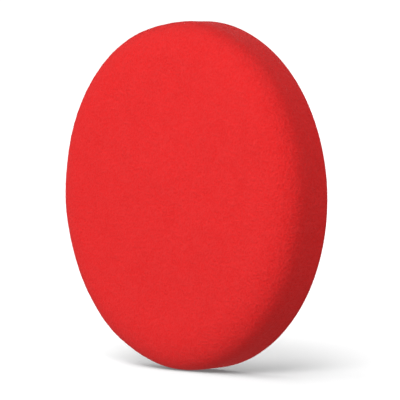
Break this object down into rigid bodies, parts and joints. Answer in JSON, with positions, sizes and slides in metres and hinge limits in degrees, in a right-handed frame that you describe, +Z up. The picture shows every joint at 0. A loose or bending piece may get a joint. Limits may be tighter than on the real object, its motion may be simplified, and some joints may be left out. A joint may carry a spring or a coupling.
{
  "type": "foam polishing pad",
  "caption": "Round open-cell foam polishing pad with a rounded working edge and a hook-and-loop backing for a dual action polisher.",
  "frame": {"origin": "centre of the loop face, in the plane of the tips of the loops", "axes": "+Y along the pad's axis, out of the loop face towards the machine; -Y out of the working face; +Z up, with the pad standing on its rim"},
  "size_m": [0.165, 0.0282, 0.165],
  "materials": {
    "foam": "matt open-cell polyurethane foam, ground surface",
    "adhesive": "satin, translucent amber hot-melt film",
    "ground_cloth": "fine warp-knit nylon ground",
    "pile_yarn": "raised nylon filament loops, soft sheen"
  },
  "bodies": {
    "root": {"foam_disc": "foam", "bond_film": "adhesive", "loop_cloth": "ground_cloth", "loop_pile": "pile_yarn"}
  },
  "joints": []
}
